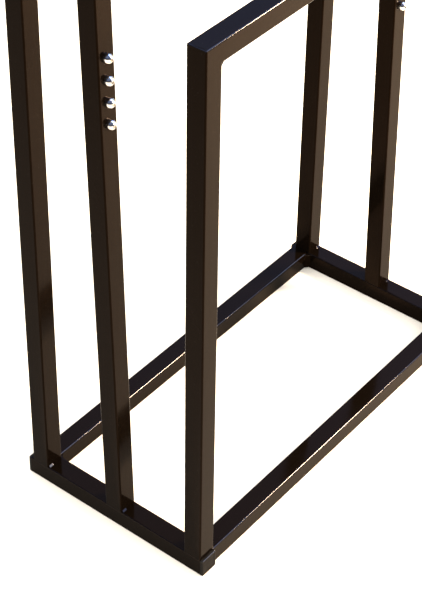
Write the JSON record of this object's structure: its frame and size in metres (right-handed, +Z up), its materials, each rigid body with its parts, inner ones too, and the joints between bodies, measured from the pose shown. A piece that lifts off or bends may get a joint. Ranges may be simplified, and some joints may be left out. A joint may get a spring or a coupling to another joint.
{
  "type": "valet stand",
  "caption": "Free-standing valet stand of square steel tube: nested inverted-U garment rails that rise from front to back on a rectangular base.",
  "frame": {"origin": "on the floor at the middle of the base", "axes": "+Z up, +X to the right, front towards -Y"},
  "size_m": [0.456, 0.221, 1.1],
  "materials": {
    "enamelled_steel": "glossy",
    "plug_plastic": "matte",
    "bright_steel": "polished",
    "strip_steel": "zinc plated"
  },
  "bodies": {
    "root": {"back_bar": "enamelled_steel", "base_corner_welds": "enamelled_steel", "front_bar": "enamelled_steel", "front_frame_welds": "enamelled_steel", "front_left_end_plug": "plug_plastic", "front_left_post": "enamelled_steel", "front_rail": "enamelled_steel", "front_right_end_plug": "plug_plastic", "front_right_post": "enamelled_steel", "left_backing_strip": "strip_steel", "left_screws": "bright_steel", "left_side_bar": "enamelled_steel", "middle_frame_welds": "enamelled_steel", "middle_left_post": "enamelled_steel", "middle_rail": "enamelled_steel", "middle_right_post": "enamelled_steel", "post_foot_welds": "enamelled_steel", "rear_frame_welds": "enamelled_steel", "rear_left_end_plug": "plug_plastic", "rear_left_post": "enamelled_steel", "rear_rail": "enamelled_steel", "rear_right_end_plug": "plug_plastic", "rear_right_post": "enamelled_steel", "right_backing_strip": "strip_steel", "right_screws": "bright_steel", "right_side_bar": "enamelled_steel"}
  },
  "joints": []
}
